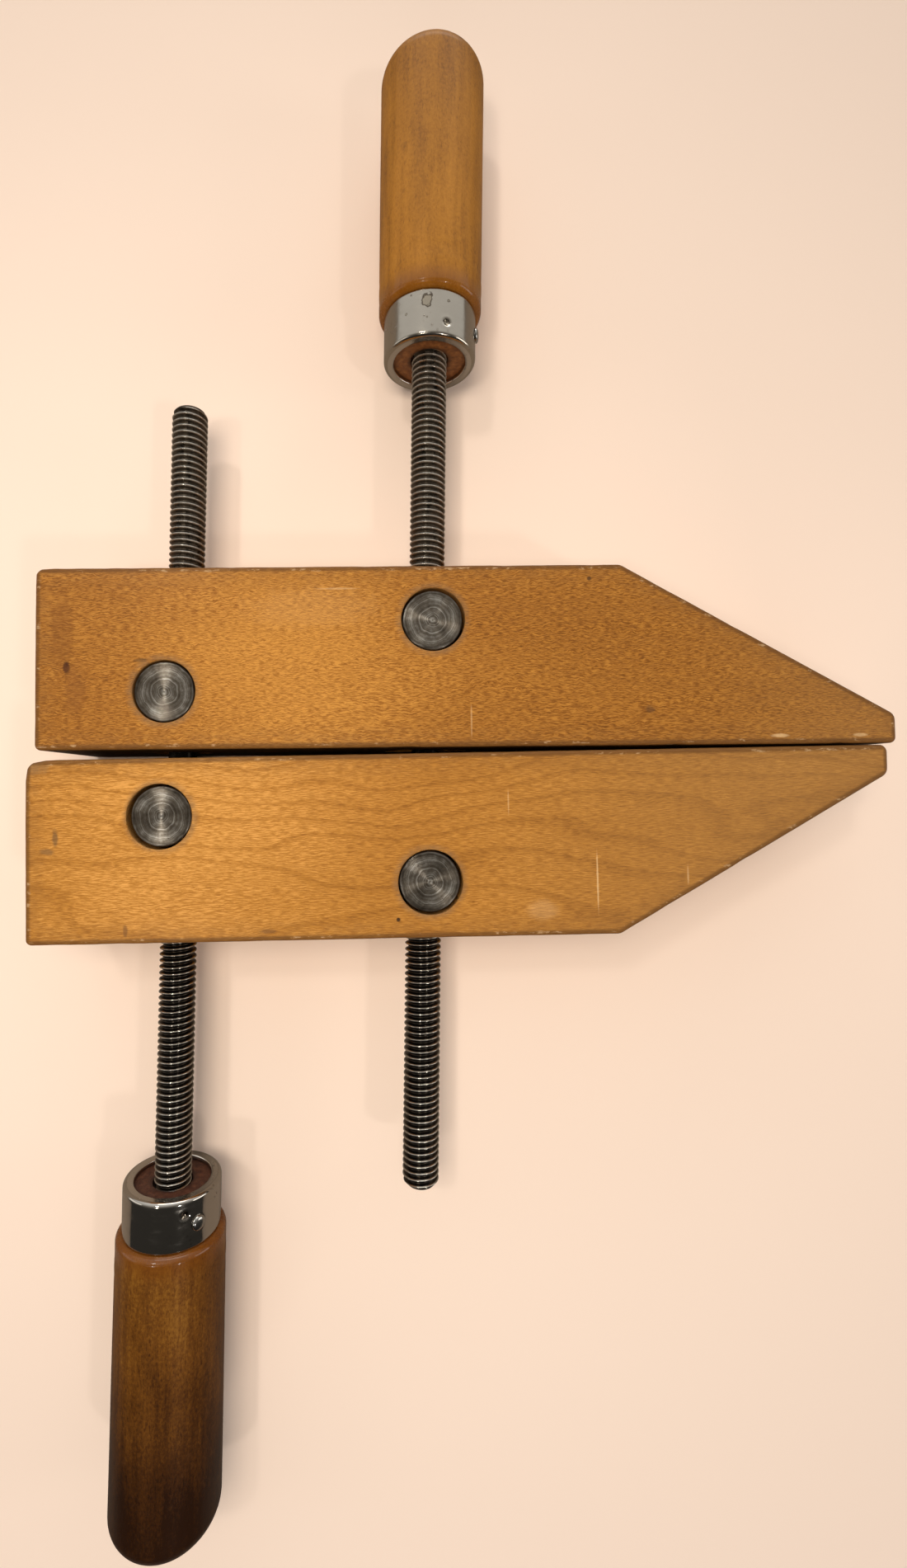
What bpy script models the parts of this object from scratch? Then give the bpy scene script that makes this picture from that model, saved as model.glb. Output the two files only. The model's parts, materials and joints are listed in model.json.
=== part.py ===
"""Parallel handscrew clamp of the eight-inch size, lying on one side face.

Two tapered wooden jaws hang on two steel spindles. Each spindle screws through a swivel nut in each
jaw: its lower half has a right-hand thread and its upper half a left-hand one, so one turn moves
both jaws apart by the same amount. The handles point opposite ways, the rear spindle's down and the
middle spindle's up. The threads are left as plain rods of the major diameter.

+X runs from the heel of the jaws to their tips, +Y from the lower jaw to the upper jaw, and +Z up
from the side faces that the clamp lies on. The origin is the centre of the footprint. Lengths are
in metres. Heights along a spindle are counted from the middle of the clamp towards its handle.
"""

import math

import bmesh
import bpy
from mathutils import Matrix, Vector

MM = 0.001
CLEARANCE = 0.3 * MM

# Cutters run past what they cut by this much, and points this close are one point
CUTTER_OVERRUN = 4.0 * MM
MERGE_DISTANCE = 0.003 * MM

# Jaws
JAW_LENGTH = 204.8 * MM
JAW_HEIGHT = 43.5 * MM
JAW_THICKNESS = 35.0 * MM
JAW_TIP_HEIGHT = 6.9 * MM
JAW_SLOPE_START = 139.8 * MM
JAW_HEEL_RADIUS = 1.2 * MM
JAW_SLOPE_RADIUS = 4.0 * MM
JAW_TIP_RADIUS = 2.2 * MM
JAW_EASED_EDGE = 1.0 * MM
EASED_SEGMENTS = 2
EASED_ABOVE_ANGLE = math.radians(50)
LOWER_HEEL_X = -1.2 * MM
UPPER_HEEL_X = 1.0 * MM

# The jaws nearly meet at the tips and stand a little open at the heel
HEEL_HALF_GAP = 1.15 * MM
TIP_HALF_GAP = 0.15 * MM
JAW_LEAN = math.asin((HEEL_HALF_GAP - TIP_HALF_GAP) / JAW_LENGTH)

# The upper jaw sits slightly forward, so both spindles lean towards the tips by this angle
SPINDLE_LEAN = math.radians(1.575)

# Swivel nuts, and the slots in which the spindles swing
NUT_RADIUS = 7.15 * MM
NUT_LENGTH = 33.6 * MM
NUT_CHAMFER = 0.5 * MM
SLOT_HALF_WIDTH = 5.3 * MM
SLOT_FLARE = math.radians(10)

# Spindles
SPINDLE_RADIUS = 4.65 * MM
TANG_RADIUS = 4.2 * MM
TANG_LENGTH = 46.0 * MM

# Handles, ferrules, washers and pins, with heights counted from the ferrule's mouth
FERRULE_RADIUS = 12.2 * MM
FERRULE_WALL = 0.8 * MM
FERRULE_LENGTH = 12.0 * MM
FERRULE_EDGE_RADIUS = 0.8 * MM
LIP_THICKNESS = 0.9 * MM
LIP_OPENING_RADIUS = 9.55 * MM
WASHER_THICKNESS = 1.6 * MM
WASHER_RADIUS = FERRULE_RADIUS - FERRULE_WALL - CLEARANCE
WASHER_START = LIP_THICKNESS + CLEARANCE
TENON_START = WASHER_START + WASHER_THICKNESS + CLEARANCE
SHOULDER_START = FERRULE_LENGTH + CLEARANCE
SHOULDER_RADIUS = 1.6 * MM
HANDLE_RADIUS = 13.85 * MM
HANDLE_DOME = 8.8 * MM
DOME_FULLNESS = 1.35
PIN_HEIGHT = 6.5 * MM
PIN_RADIUS = 1.1 * MM
PIN_HEAD_RADIUS = 1.8 * MM
PIN_HEAD_HEIGHT = 0.7 * MM
PIN_REACH = 9.0 * MM
DIMPLE_HEIGHT = 3.6 * MM
DIMPLE_DEPTH = 0.45 * MM
DIMPLE_BALL_RADIUS = 3.0 * MM

# name: axis x, nut height in each jaw, side of the handle, ferrule mouth, free end,
# handle end, size of the free end's rounding and the steps it takes, one of which makes a chamfer,
# and the turn of the pin and the dimple from straight up
SPINDLES = {
    "rear": dict(x=31.2 * MM, nut=14.8 * MM, side=-1, mouth=107.5 * MM, free=92.5 * MM,
                 end=195.7 * MM, rounding=2.4 * MM, rounding_steps=4,
                 pin=math.radians(46), dimple=math.radians(30)),
    "mid": dict(x=94.9 * MM, nut=31.1 * MM, side=1, mouth=104.3 * MM, free=110.6 * MM,
                end=188.8 * MM, rounding=1.3 * MM, rounding_steps=1,
                pin=math.radians(77), dimple=math.radians(16)),
}

# The footprint's centre, counted from the lower jaw's heel and the middle of the clamp
CENTRE_X = (UPPER_HEEL_X + LOWER_HEEL_X + JAW_LENGTH) / 2
CENTRE_Y = (SPINDLES["mid"]["end"] - SPINDLES["rear"]["end"]) / 2

# name: colour, roughness, metallic
MATERIALS = {
    "upper_jaw_wood": ((0.47, 0.22, 0.07), 0.35, 0.0),
    "lower_jaw_wood": ((0.52, 0.26, 0.09), 0.35, 0.0),
    "handle_wood": ((0.42, 0.17, 0.04), 0.25, 0.0),
    "spindle_steel": ((0.14, 0.13, 0.12), 0.35, 1.0),
    "nut_steel": ((0.25, 0.24, 0.23), 0.40, 1.0),
    "ferrule_chrome": ((0.75, 0.75, 0.74), 0.12, 1.0),
    "washer_fibre": ((0.20, 0.06, 0.02), 0.70, 0.0),
    "pin_steel": ((0.55, 0.54, 0.52), 0.25, 1.0),
}

TURNED_SIDES = 40
ROD_SIDES = 28
SMALL_SIDES = 16
ARC_STEPS = 4
SHARP_ANGLE = math.radians(35)


def clear_scene():
    for obj in list(bpy.data.objects):
        bpy.data.objects.remove(obj, do_unlink=True)


def make_materials():
    for name, (colour, roughness, metallic) in MATERIALS.items():
        material = bpy.data.materials.new(name)
        material.use_nodes = True
        shader = material.node_tree.nodes["Principled BSDF"]
        shader.inputs["Base Color"].default_value = (*colour, 1.0)
        shader.inputs["Roughness"].default_value = roughness
        shader.inputs["Metallic"].default_value = metallic


def add_empty(name, location, parent=None, rotation=None):
    """An axis or a corner that pieces are placed from."""
    empty = bpy.data.objects.new(name, None)
    empty.empty_display_size = 10 * MM
    empty.parent = parent
    empty.matrix_local = Matrix.Translation(location) @ (rotation or Matrix())
    bpy.context.scene.collection.objects.link(empty)
    return empty


def add_piece(name, bm, parent, material=None, matrix=None):
    """A mesh object of the bmesh, shaded smooth across its gentle angles."""
    bmesh.ops.recalc_face_normals(bm, faces=bm.faces)
    mesh = bpy.data.meshes.new(name)
    bm.to_mesh(mesh)
    bm.free()
    mesh.shade_smooth()
    mesh.set_sharp_from_angle(angle=SHARP_ANGLE)
    if material:
        mesh.materials.append(bpy.data.materials[material])
    obj = bpy.data.objects.new(name, mesh)
    obj.parent = parent
    obj.matrix_local = matrix or Matrix()
    bpy.context.scene.collection.objects.link(obj)
    return obj


def cut(target, cutter):
    """Takes the cutter's volume out of the target, and leaves the cutter as a wire helper."""
    cutter.hide_render = True
    cutter.display_type = "WIRE"
    modifier = target.modifiers.new("cut_" + cutter.name, "BOOLEAN")
    modifier.operation = "DIFFERENCE"
    modifier.object = cutter


def turned(profile, sides):
    """A solid of revolution about Z. The profile is a chain of (radius, z) that ends on the axis or closes."""
    bm = bmesh.new()
    rings = []
    for radius, z in profile:
        if radius == 0:
            rings.append([bm.verts.new((0, 0, z))])
            continue
        turns = [2 * math.pi * k / sides for k in range(sides)]
        rings.append([bm.verts.new((radius * math.cos(a), radius * math.sin(a), z)) for a in turns])
    closed = len(rings[0]) > 1
    for lower, upper in zip(rings, rings[1:] + rings[:1] if closed else rings[1:]):
        for k in range(sides):
            corners = [lower[k % len(lower)], lower[(k + 1) % len(lower)],
                       upper[(k + 1) % len(upper)], upper[k % len(upper)]]
            bm.faces.new(dict.fromkeys(corners))
    return bm


def arc(centre, radius, start, stop, steps=ARC_STEPS):
    """Points of a circular arc in a profile or an outline, both ends included. Angles are in degrees."""
    angles = [math.radians(start + (stop - start) * k / steps) for k in range(steps + 1)]
    return [(centre[0] + radius * math.cos(a), centre[1] + radius * math.sin(a)) for a in angles]


def filleted(corners):
    """An outline of (point, radius) corners, each rounded to its radius."""
    outline = []
    for k, (point, radius) in enumerate(corners):
        here = Vector(point)
        before = (Vector(corners[k - 1][0]) - here).normalized()
        after = (Vector(corners[(k + 1) % len(corners)][0]) - here).normalized()
        half = before.angle(after) / 2
        centre = here + (before + after).normalized() * radius / math.sin(half)
        first = (here + before * radius / math.tan(half) - centre).normalized()
        last = (here + after * radius / math.tan(half) - centre).normalized()
        for step in range(ARC_STEPS + 1):
            outline.append(centre + first.slerp(last, step / ARC_STEPS) * radius)
    return outline


def jaw_blank(side):
    """The jaw's outline, raised to its thickness. side is 1 for the upper jaw and -1 for the lower one."""
    corners = [
        ((0, 0), JAW_HEEL_RADIUS),
        ((JAW_LENGTH, 0), JAW_TIP_RADIUS),
        ((JAW_LENGTH, side * JAW_TIP_HEIGHT), JAW_TIP_RADIUS),
        ((JAW_SLOPE_START, side * JAW_HEIGHT), JAW_SLOPE_RADIUS),
        ((0, side * JAW_HEIGHT), JAW_HEEL_RADIUS),
    ]
    bm = bmesh.new()
    base = bm.faces.new([bm.verts.new((p.x, p.y, 0)) for p in filleted(corners)])
    raised = bmesh.ops.extrude_face_region(bm, geom=[base])
    lifted = [v for v in raised["geom"] if isinstance(v, bmesh.types.BMVert)]
    bmesh.ops.translate(bm, verts=lifted, vec=(0, 0, JAW_THICKNESS))
    return bm


def slot_cutter(below, above):
    """A slot about Z, as round-ended sections that lengthen along X away from the nut."""
    bm = bmesh.new()
    sections = []
    for z in (-below, 0, above):
        reach = abs(z) * math.tan(SLOT_FLARE)
        right = arc((reach, 0), SLOT_HALF_WIDTH, -90, 90, 2 * ARC_STEPS)
        left = arc((-reach, 0), SLOT_HALF_WIDTH, 90, 270, 2 * ARC_STEPS)
        sections.append([bm.verts.new((x, y, z)) for x, y in right + left])
    for lower, upper in zip(sections, sections[1:]):
        for k in range(len(lower)):
            corners = [lower[k - 1], lower[k], upper[k], upper[k - 1]]
            bm.faces.new(corners)
    bm.faces.new(sections[0])
    bm.faces.new(sections[-1])
    bmesh.ops.remove_doubles(bm, verts=bm.verts, dist=MERGE_DISTANCE)
    return bm


def spindle_point(spindle, height):
    """The point of a spindle's axis at this height above the middle of the clamp."""
    along = Vector((math.sin(SPINDLE_LEAN), math.cos(SPINDLE_LEAN), 0))
    return Vector((spindle["x"], 0, JAW_THICKNESS / 2)) + along * height / math.cos(SPINDLE_LEAN)


def add_jaw(name, side, heel_x, clamp):
    """A jaw with its two nut holes and the two slots that its spindles swing in."""
    lean = Matrix.Rotation(-side * JAW_LEAN, 4, "Z")
    frame = add_empty(name + "_heel", (heel_x, side * HEEL_HALF_GAP, 0), clamp, lean)
    jaw = add_piece(name, jaw_blank(side), frame, name + "_wood")
    eased = jaw.modifiers.new("eased_edges", "BEVEL")
    eased.width = JAW_EASED_EDGE
    eased.segments = EASED_SEGMENTS
    eased.limit_method = "ANGLE"
    eased.angle_limit = EASED_ABOVE_ANGLE
    inner, outer = HEEL_HALF_GAP, HEEL_HALF_GAP + JAW_HEIGHT
    for spindle_name, spindle in SPINDLES.items():
        centre = spindle_point(spindle, side * spindle["nut"])
        hole = turned([(0, -JAW_THICKNESS), (NUT_RADIUS + CLEARANCE, -JAW_THICKNESS),
                       (NUT_RADIUS + CLEARANCE, JAW_THICKNESS), (0, JAW_THICKNESS)], TURNED_SIDES)
        hole_name = name + "_" + spindle_name + "_nut_hole"
        cut(jaw, add_piece(hole_name, hole, clamp, matrix=Matrix.Translation(centre)))
        slot = slot_cutter(spindle["nut"] - inner + CUTTER_OVERRUN, outer - spindle["nut"] + CUTTER_OVERRUN)
        place = Matrix.Translation(centre) @ along_spindle(side)
        cut(jaw, add_piece(name + "_" + spindle_name + "_slot", slot, clamp, matrix=place))


def along_spindle(side):
    """Turns local +Z to the spindles' direction, upwards for side 1 and downwards for side -1. Local X stays."""
    lean = Matrix.Rotation(-SPINDLE_LEAN, 4, "Z")
    return lean @ Matrix.Rotation(math.radians(-90 * side), 4, "X")


def add_nut(name, centre, clamp):
    """A barrel nut across the jaw, cross-bored for its spindle. Its origin is on the axis it swivels about."""
    half = NUT_LENGTH / 2
    rim = NUT_RADIUS - NUT_CHAMFER
    profile = [(0, -half), (rim, -half), (NUT_RADIUS, -half + NUT_CHAMFER),
               (NUT_RADIUS, half - NUT_CHAMFER), (rim, half), (0, half)]
    nut = add_piece(name, turned(profile, TURNED_SIDES), clamp, "nut_steel", Matrix.Translation(centre))
    bore_radius = SPINDLE_RADIUS + CLEARANCE
    reach = NUT_RADIUS + CUTTER_OVERRUN
    bore = turned([(0, -reach), (bore_radius, -reach), (bore_radius, reach), (0, reach)], ROD_SIDES)
    cut(nut, add_piece(name + "_bore", bore, nut, matrix=along_spindle(1)))


def add_spindle(name, spindle, axis):
    """The threaded rod with its rounded free end, and the thinner tang inside the handle."""
    free, rounding = -spindle["free"], spindle["rounding"]
    tip = SPINDLE_RADIUS - rounding
    shoulder = spindle["mouth"] + TENON_START - CLEARANCE
    profile = [(0, free)]
    profile += arc((tip, free + rounding), rounding, -90, 0, spindle["rounding_steps"])
    profile += [(SPINDLE_RADIUS, shoulder), (TANG_RADIUS, shoulder)]
    profile += [(TANG_RADIUS, shoulder + TANG_LENGTH), (0, shoulder + TANG_LENGTH)]
    rod = add_piece(name + "_spindle", turned(profile, ROD_SIDES), axis, "spindle_steel")
    cut(rod, pin_hole(name + "_tang_pin_hole", spindle, axis))


def add_ferrule(name, spindle, axis):
    """A pressed cup whose mouth is turned in to a flat lip, with a dent punched in its side."""
    mouth = spindle["mouth"]
    inside = FERRULE_RADIUS - FERRULE_WALL
    edge = (FERRULE_RADIUS - FERRULE_EDGE_RADIUS, mouth + FERRULE_EDGE_RADIUS)
    profile = [(LIP_OPENING_RADIUS, mouth + LIP_THICKNESS), (LIP_OPENING_RADIUS, mouth)]
    profile += arc(edge, FERRULE_EDGE_RADIUS, -90, 0)
    profile += [(FERRULE_RADIUS, mouth + FERRULE_LENGTH), (inside, mouth + FERRULE_LENGTH)]
    profile += [(inside, mouth + LIP_THICKNESS)]
    ferrule = add_piece(name + "_ferrule", turned(profile, TURNED_SIDES), axis, "ferrule_chrome")
    cut(ferrule, pin_hole(name + "_ferrule_pin_hole", spindle, axis))
    ball = bmesh.new()
    bmesh.ops.create_icosphere(ball, subdivisions=2, radius=DIMPLE_BALL_RADIUS)
    out = FERRULE_RADIUS + DIMPLE_BALL_RADIUS - DIMPLE_DEPTH
    place = across(spindle, DIMPLE_HEIGHT, spindle["dimple"]) @ Matrix.Translation((0, 0, out))
    cut(ferrule, add_piece(name + "_dimple", ball, axis, matrix=place))


def add_washer(name, spindle, axis):
    """The fibre washer behind the lip. It goes along with the spindle without turning."""
    low = spindle["mouth"] + WASHER_START
    high = low + WASHER_THICKNESS
    bore = SPINDLE_RADIUS + CLEARANCE
    profile = [(bore, high), (bore, low), (WASHER_RADIUS, low), (WASHER_RADIUS, high)]
    add_piece(name + "_washer", turned(profile, TURNED_SIDES), axis, "washer_fibre")


def add_handle(name, spindle, axis):
    """A turned handle: a bored tenon inside the ferrule, a rounded shoulder, and a domed end."""
    mouth, end = spindle["mouth"], spindle["end"]
    bore = TANG_RADIUS + CLEARANCE
    bottom = mouth + TENON_START + TANG_LENGTH + CLEARANCE
    shoulder = mouth + SHOULDER_START
    round_centre = (HANDLE_RADIUS - SHOULDER_RADIUS, shoulder + SHOULDER_RADIUS)
    profile = [(0, bottom), (bore, bottom), (bore, mouth + TENON_START)]
    profile += [(WASHER_RADIUS, mouth + TENON_START), (WASHER_RADIUS, shoulder)]
    profile += arc(round_centre, SHOULDER_RADIUS, -90, 0)
    for step in range(2 * ARC_STEPS):
        angle = math.pi / 2 * step / (2 * ARC_STEPS)
        radius = HANDLE_RADIUS * math.cos(angle) ** DOME_FULLNESS
        profile.append((radius, end - HANDLE_DOME * (1 - math.sin(angle))))
    profile.append((0, end))
    handle = add_piece(name + "_handle", turned(profile, TURNED_SIDES), axis, "handle_wood")
    cut(handle, pin_hole(name + "_handle_pin_hole", spindle, axis))


def across(spindle, height, turn):
    """Turns local +Z outwards, square to the spindle, at this height above the ferrule's mouth."""
    outward = Vector((math.sin(turn), -spindle["side"] * math.cos(turn), 0))
    place = Matrix.Translation((0, 0, spindle["mouth"] + height))
    return place @ outward.to_track_quat("Z", "Y").to_matrix().to_4x4()


def pin_hole(name, spindle, axis):
    """Cutter for the hole that the pin passes through."""
    radius, bottom, top = PIN_RADIUS + CLEARANCE, -PIN_REACH - CLEARANCE, FERRULE_RADIUS + CUTTER_OVERRUN
    profile = [(0, bottom), (radius, bottom), (radius, top), (0, top)]
    place = across(spindle, PIN_HEIGHT, spindle["pin"])
    return add_piece(name, turned(profile, SMALL_SIDES), axis, matrix=place)


def add_pin(name, spindle, axis):
    """The dome-headed pin through the ferrule, the handle and the tang."""
    head = FERRULE_RADIUS + CLEARANCE / 2
    profile = [(0, -PIN_REACH), (PIN_RADIUS, -PIN_REACH), (PIN_RADIUS, head)]
    for step in range(ARC_STEPS):
        angle = math.pi / 2 * step / ARC_STEPS
        profile.append((PIN_HEAD_RADIUS * math.cos(angle), head + PIN_HEAD_HEIGHT * math.sin(angle)))
    profile.append((0, head + PIN_HEAD_HEIGHT))
    place = across(spindle, PIN_HEIGHT, spindle["pin"])
    add_piece(name + "_pin", turned(profile, SMALL_SIDES), axis, "pin_steel", place)


def main():
    clear_scene()
    make_materials()
    clamp = add_empty("clamp_middle", (-CENTRE_X, -CENTRE_Y, 0))
    add_jaw("lower_jaw", -1, LOWER_HEEL_X, clamp)
    add_jaw("upper_jaw", 1, UPPER_HEEL_X, clamp)
    for name, spindle in SPINDLES.items():
        for jaw_name, side in (("lower", -1), ("upper", 1)):
            centre = spindle_point(spindle, side * spindle["nut"])
            add_nut(jaw_name + "_" + name + "_nut", centre, clamp)
        middle = spindle_point(spindle, 0)
        axis = add_empty(name + "_spindle_axis", middle, clamp, along_spindle(spindle["side"]))
        add_spindle(name, spindle, axis)
        add_washer(name, spindle, axis)
        add_ferrule(name, spindle, axis)
        add_handle(name, spindle, axis)
        add_pin(name, spindle, axis)


main()
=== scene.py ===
"""Looks of the parallel handscrew clamp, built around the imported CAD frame.

Every wooden and steel piece is rebuilt as a finer mesh on its own CAD body: jaws with worn edges,
helical threads of both hands, turned nut ends, pressed ferrules and turned handles. All materials
are procedural. Lengths are in metres, and shader coordinates are in millimetres.
"""
import json
import math

import bmesh
import bpy
from mathutils import Matrix, Vector, noise


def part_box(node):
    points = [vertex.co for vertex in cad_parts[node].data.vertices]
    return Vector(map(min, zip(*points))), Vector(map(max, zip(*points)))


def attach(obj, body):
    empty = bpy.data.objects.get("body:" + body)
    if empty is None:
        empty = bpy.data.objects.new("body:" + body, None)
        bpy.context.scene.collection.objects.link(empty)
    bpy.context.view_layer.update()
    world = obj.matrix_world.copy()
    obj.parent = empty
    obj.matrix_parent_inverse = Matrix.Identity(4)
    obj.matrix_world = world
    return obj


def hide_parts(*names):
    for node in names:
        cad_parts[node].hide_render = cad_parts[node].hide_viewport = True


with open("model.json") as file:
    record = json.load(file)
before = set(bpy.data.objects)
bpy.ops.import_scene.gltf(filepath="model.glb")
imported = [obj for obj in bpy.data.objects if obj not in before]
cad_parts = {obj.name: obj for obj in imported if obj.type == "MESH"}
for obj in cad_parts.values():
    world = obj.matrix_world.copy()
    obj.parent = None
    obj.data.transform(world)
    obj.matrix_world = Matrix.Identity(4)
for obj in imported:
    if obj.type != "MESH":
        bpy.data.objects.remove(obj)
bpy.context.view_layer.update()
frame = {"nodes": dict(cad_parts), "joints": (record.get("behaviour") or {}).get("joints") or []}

MM = 0.001

# Jaws, as in the CAD model
JAW_LENGTH = 204.8 * MM
JAW_HEIGHT = 43.5 * MM
JAW_THICKNESS = 35.0 * MM
JAW_TIP_HEIGHT = 6.9 * MM
JAW_SLOPE_START = 139.8 * MM
HEEL_HALF_GAP = 1.15 * MM
TIP_HALF_GAP = 0.15 * MM
JAW_LEAN = math.asin((HEEL_HALF_GAP - TIP_HALF_GAP) / JAW_LENGTH)
JAW_EASED_EDGE = 0.8 * MM
OUTLINE_STEP = 3.0 * MM
FILLET_STEPS = 6
EDGE_WEAR = 0.10 * MM

# Threads
PITCH = 25.4 / 16 * MM
THREAD_DEPTH = 0.85 * MM
# phase along one pitch and share of the thread's depth there, from crest to root and back
THREAD_FORM = ((0.03, 1.0), (0.11, 1.0), (0.16, 0.93), (0.42, 0.10),
               (0.50, 0.0), (0.64, 0.0), (0.72, 0.10), (0.98, 0.93))
ROD_SIDES = 32
MIDDLE_COLLAR = 2.5 * MM
NECK_DEPTH = 1.1 * MM
TANG_RADIUS = 4.1 * MM
NUT_BORE_RADIUS = 4.9 * MM

# Ferrules, with heights counted from the mouth
LIP_THICKNESS = 0.9 * MM
LIP_OPENING_RADIUS = 9.55 * MM
FERRULE_WALL = 0.8 * MM
PIN_HEIGHT = 6.5 * MM
PIN_HEAD_RADIUS = 1.8 * MM
DIMPLE_HEIGHT = 3.6 * MM

TURNED_SIDES = 96


# ---------------------------------------------------------------- places, read from the frame
def joint_named(name):
    return next(j for j in frame["joints"] if j["name"] == name)


NUT_JOINTS = {
    "lower_rear_nut": "jaw_angle",
    "upper_rear_nut": "upper_jaw_swivel",
    "lower_mid_nut": "lower_mid_nut_swivel",
    "upper_mid_nut": "upper_mid_nut_swivel",
}
NUT_CENTRES = {nut: Vector(joint_named(name)["pos_m"]) for nut, name in NUT_JOINTS.items()}
SPINDLES = {
    "rear": dict(joint="rear_spindle_turn", side=-1, pin=math.radians(46), dimple=math.radians(30),
                rounding=2.4 * MM, domed=True),
    "mid": dict(joint="mid_spindle_turn", side=1, pin=math.radians(77), dimple=math.radians(16),
               rounding=1.3 * MM, domed=False),
}
for spindle_facts in SPINDLES.values():
    turning = joint_named(spindle_facts["joint"])
    spindle_facts["middle"] = Vector(turning["pos_m"])
    spindle_facts["up"] = Vector(turning["axis"])


def spindle_frame(spindle):
    """Matrix whose local +Z runs along the spindle towards its handle, with local X across the clamp."""
    lean = Matrix.Rotation(-math.atan2(spindle["up"].x, spindle["up"].y), 4, "Z")
    turn = Matrix.Rotation(math.radians(-90 * spindle["side"]), 4, "X")
    return Matrix.Translation(spindle["middle"]) @ lean @ turn


def span(node, spindle):
    """Lowest and highest place of a CAD node along its spindle, and its greatest radius."""
    inverse = spindle_frame(spindle).inverted()
    points = [inverse @ v.co for v in frame["nodes"][node].data.vertices]
    heights = [p.z for p in points]
    return min(heights), max(heights), max(p.xy.length for p in points)


# ---------------------------------------------------------------- mesh helpers
def add_object(name, data):
    obj = bpy.data.objects.new(name, data)
    bpy.context.scene.collection.objects.link(obj)
    return obj


def smooth(mesh, sharp):
    """Smooth shading, except across angles above sharp degrees."""
    mesh.shade_smooth()
    mesh.set_sharp_from_angle(angle=math.radians(sharp))


def finish_piece(name, bm, matrix, body, materials, replaced, sharp=35):
    """Makes the object, shades it smooth across its gentle angles, and puts it in place of its CAD node."""
    bmesh.ops.recalc_face_normals(bm, faces=bm.faces)
    mesh = bpy.data.meshes.new(name)
    bm.to_mesh(mesh)
    bm.free()
    smooth(mesh, sharp)
    obj = add_object(name, mesh)
    obj.matrix_world = matrix
    for material in materials:
        mesh.materials.append(material)
    weighted = obj.modifiers.new("weighted_normals", "WEIGHTED_NORMAL")
    weighted.keep_sharp = True
    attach(obj, body)
    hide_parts(replaced)
    return obj


def ring(bm, radius, height, sides, bend=None):
    """One ring of a turned surface. bend(radius, angle, height) may shift the radius."""
    if radius == 0:
        return [bm.verts.new((0, 0, height))]
    verts = []
    for k in range(sides):
        angle = 2 * math.pi * k / sides
        r = bend(radius, angle, height) if bend else radius
        verts.append(bm.verts.new((r * math.cos(angle), r * math.sin(angle), height)))
    return verts


def turned(bm, profile, sides=TURNED_SIDES, bend=None, closed=False):
    """A surface of revolution about Z from (radius, height) points, which may close on itself."""
    rings = [ring(bm, r, z, sides, bend) for r, z in profile]
    for lower, upper in zip(rings, rings[1:] + (rings[:1] if closed else [])):
        for k in range(sides):
            corners = [lower[k % len(lower)], lower[(k + 1) % len(lower)],
                       upper[(k + 1) % len(upper)], upper[k % len(upper)]]
            bm.faces.new(dict.fromkeys(corners))
    return bm


def arc(centre, radius, start, stop, steps):
    """Points of a circular arc, both ends included. Angles are in degrees."""
    angles = [math.radians(start + (stop - start) * k / steps) for k in range(steps + 1)]
    return [(centre[0] + radius * math.cos(a), centre[1] + radius * math.sin(a)) for a in angles]


def run(first, last, steps):
    """Evenly spaced points from first to last, without first."""
    return [tuple(a + (b - a) * k / steps for a, b in zip(first, last)) for k in range(1, steps + 1)]


# ---------------------------------------------------------------- jaws
def filleted(corners):
    """An outline of (point, radius) corners, rounded, with points along its straight sides too."""
    outline = []
    for k, (point, radius) in enumerate(corners):
        here = Vector(point)
        before = (Vector(corners[k - 1][0]) - here).normalized()
        after = (Vector(corners[(k + 1) % len(corners)][0]) - here).normalized()
        half = before.angle(after) / 2
        centre = here + (before + after).normalized() * radius / math.sin(half)
        first = (here + before * radius / math.tan(half) - centre).normalized()
        last = (here + after * radius / math.tan(half) - centre).normalized()
        for step in range(FILLET_STEPS + 1):
            outline.append(centre + first.slerp(last, step / FILLET_STEPS) * radius)
    points = []
    for k, point in enumerate(outline):
        following = outline[(k + 1) % len(outline)]
        pieces = max(1, round((following - point).length / OUTLINE_STEP))
        points += [point.lerp(following, step / pieces) for step in range(pieces)]
    return points


def nut_hole(centre, radius):
    """Cutter for a nut's hole, with its rims slightly broken."""
    rim, reach = 0.25 * MM, 5 * MM
    top = JAW_THICKNESS / 2
    bm = bmesh.new()
    profile = [(0, -top - reach), (radius + 2 * rim, -top - reach), (radius + 2 * rim, -top - rim),
               (radius, -top + rim), (radius, top - rim), (radius + 2 * rim, top + rim),
               (radius + 2 * rim, top + reach), (0, top + reach)]
    turned(bm, profile)
    bmesh.ops.translate(bm, verts=bm.verts, vec=centre)
    return bm


def slot_cutter(below, above):
    """The slot that a spindle swings in, about Z, longer along X away from the nut."""
    half_width, flare = 5.3 * MM, math.radians(10)
    bm = bmesh.new()
    sections = []
    for z in (-below, 0, above):
        reach = abs(z) * math.tan(flare) + 0.05 * MM
        outline = arc((reach, 0), half_width, -90, 90, 16) + arc((-reach, 0), half_width, 90, 270, 16)
        sections.append([bm.verts.new((x, y, z)) for x, y in outline])
    for lower, upper in zip(sections, sections[1:]):
        for k in range(len(lower)):
            bm.faces.new([lower[k - 1], lower[k], upper[k], upper[k - 1]])
    bm.faces.new(sections[0])
    bm.faces.new(sections[-1])
    return bm


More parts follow.
